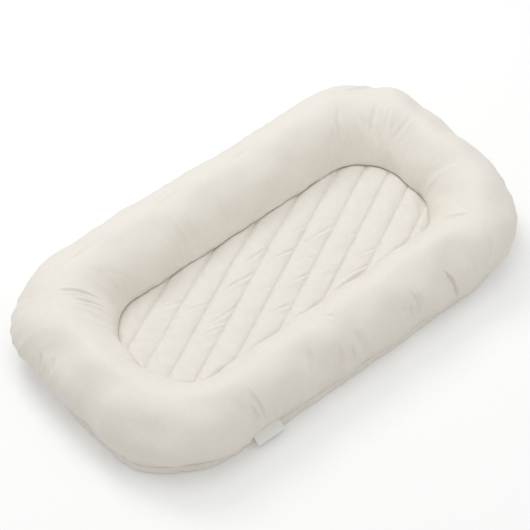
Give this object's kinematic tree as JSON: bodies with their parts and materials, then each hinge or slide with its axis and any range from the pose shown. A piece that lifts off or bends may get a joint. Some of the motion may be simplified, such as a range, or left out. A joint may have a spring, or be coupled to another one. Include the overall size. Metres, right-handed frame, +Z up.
{
  "type": "infant lounger",
  "caption": "Padded infant lounger: a stuffed ring with rounded corners round a flat quilted centre, with a removable zipped cover.",
  "frame": {"origin": "middle of the underside, on the floor that the lounger rests on", "axes": "+X along the length, +Y across the width away from the side with the label, +Z up"},
  "size_m": [0.8, 0.45, 0.12],
  "materials": {
    "cover_cotton": "matt plain-woven cotton, cream",
    "panel_cotton": "matt plain-woven cotton, cream, quilted to wadding",
    "base_cotton": "matt plain-woven cotton, cream",
    "label_tape": "smooth white woven tape",
    "zip_tape": "woven polyester tape, cream",
    "zip_nylon": "moulded nylon, cream",
    "zip_metal": "bright nickel-plated zinc",
    "insert_cloth": "white non-woven lining",
    "fibre_fill": "loose white polyester fibre",
    "pad_wadding": "bonded polyester wadding"
  },
  "bodies": {
    "root": {"bolster_cover": "cover_cotton", "quilted_panel": "panel_cotton", "base_panel": "base_cotton", "side_label": "label_tape", "zip_tape_front": "zip_tape", "zip_tape_back": "zip_tape", "zip_teeth_front": "zip_nylon", "zip_teeth_back": "zip_nylon", "zip_top_stop_front": "zip_metal", "zip_top_stop_back": "zip_metal", "zip_bottom_stop": "zip_metal", "insert_case_top": "insert_cloth", "insert_case_base": "insert_cloth", "bolster_fill": "fibre_fill", "centre_pad": "pad_wadding"},
    "slider": {"zip_slider": "zip_metal"},
    "pull": {"zip_pull": "zip_metal"}
  },
  "joints": [
    {"name": "zip_slide", "type": "slide", "parent": "root", "child": "slider", "axis": [1, 0, 0], "range_m": [-0.49, 0], "deforming": ["zip_teeth_front", "zip_teeth_back"]},
    {"name": "zip_pull_flip", "type": "hinge", "parent": "slider", "child": "pull", "pos_m": [0.246, 0, 0.0063], "axis": [0, -1, 0], "range_deg": [0, 154]}
  ]
}
